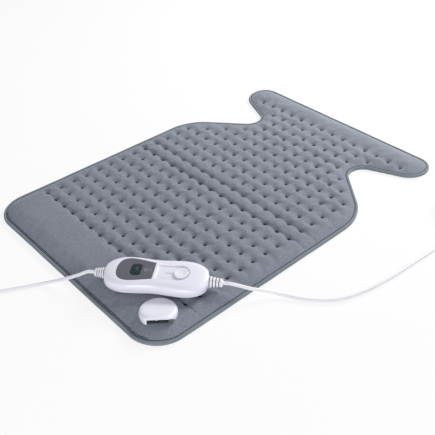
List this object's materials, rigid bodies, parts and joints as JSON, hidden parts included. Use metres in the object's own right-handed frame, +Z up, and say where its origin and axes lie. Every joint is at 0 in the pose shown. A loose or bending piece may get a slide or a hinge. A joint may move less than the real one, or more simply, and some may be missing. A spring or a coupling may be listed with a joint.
{
  "type": "heating pad",
  "caption": "Quilted heating pad with a flared neck collar, a hooded corner socket and a corded controller with a display and a round heat slide.",
  "frame": {"origin": "centre of the pad's underside, on the surface that it lies on", "axes": "+Y along the pad towards its neck collar, +X to its right, +Z up out of the quilted side"},
  "size_m": [0.558, 0.808, 0.0363],
  "materials": {
    "back_fabric": "smooth woven polyester backing",
    "carrier_felt": "needled polyester felt",
    "plush": "short-pile micro-plush, quilted with sewn tufts",
    "binding": "rolled plush edge binding",
    "heating_wire": "silicone-insulated heating wire",
    "steel": "plated steel",
    "white_plastic": "glossy white ABS",
    "boot_plastic": "soft white PVC",
    "dark_plastic": "black moulded plastic",
    "contact_metal": "nickel-plated brass",
    "grey_panel": "matt grey printed panel",
    "display_window": "dark tinted window",
    "circuit_board": "green solder resist",
    "capacitor": "red film capacitor",
    "cord": "white PVC cord",
    "tie": "black strap"
  },
  "bodies": {
    "pad": {"back_cover": "back_fabric", "carrier_felt": "carrier_felt", "quilted_top": "plush", "edge_binding": "binding", "heating_wire": "heating_wire", "thermal_cutout_1": "steel", "thermal_cutout_2": "steel", "socket_cover": "white_plastic", "socket_base": "grey_panel", "contact_block": "dark_plastic", "contact_pin_1": "contact_metal", "contact_pin_2": "contact_metal", "contact_pin_3": "contact_metal", "socket_backplate": "dark_plastic", "socket_screw_1": "steel", "socket_screw_2": "steel", "lower_shell": "white_plastic", "upper_shell": "white_plastic", "case_screw_1": "steel", "case_screw_2": "steel", "case_screw_3": "steel", "case_screw_4": "steel", "front_panel": "grey_panel", "display_window": "display_window", "display_module": "dark_plastic", "slide_switch": "dark_plastic", "circuit_board": "circuit_board", "control_chip": "dark_plastic", "film_capacitor": "capacitor", "triac": "dark_plastic", "mains_fuse": "steel", "pad_terminal": "circuit_board", "mains_terminal": "circuit_board", "mains_lead_boot": "boot_plastic", "pad_lead_boot": "boot_plastic", "mains_lead_cord": "cord", "mains_lead_coil": "cord", "mains_lead_tie": "tie", "mains_lead_tail": "cord", "mains_plug_boot": "boot_plastic", "mains_plug": "white_plastic", "mains_plug_pin_1": "contact_metal", "mains_plug_pin_2": "contact_metal", "pad_lead_cord": "cord", "pad_lead_coil": "cord", "pad_lead_tie": "tie", "pad_lead_tail": "cord", "pad_connector_boot": "boot_plastic", "pad_connector": "white_plastic"},
    "slide": {"slide_knob": "white_plastic", "switch_carriage": "white_plastic"}
  },
  "joints": [
    {"name": "heat_slide", "type": "slide", "parent": "pad", "child": "slide", "axis": [-0.7705, -0.6374, 0], "range_m": [0, 0.021]}
  ]
}
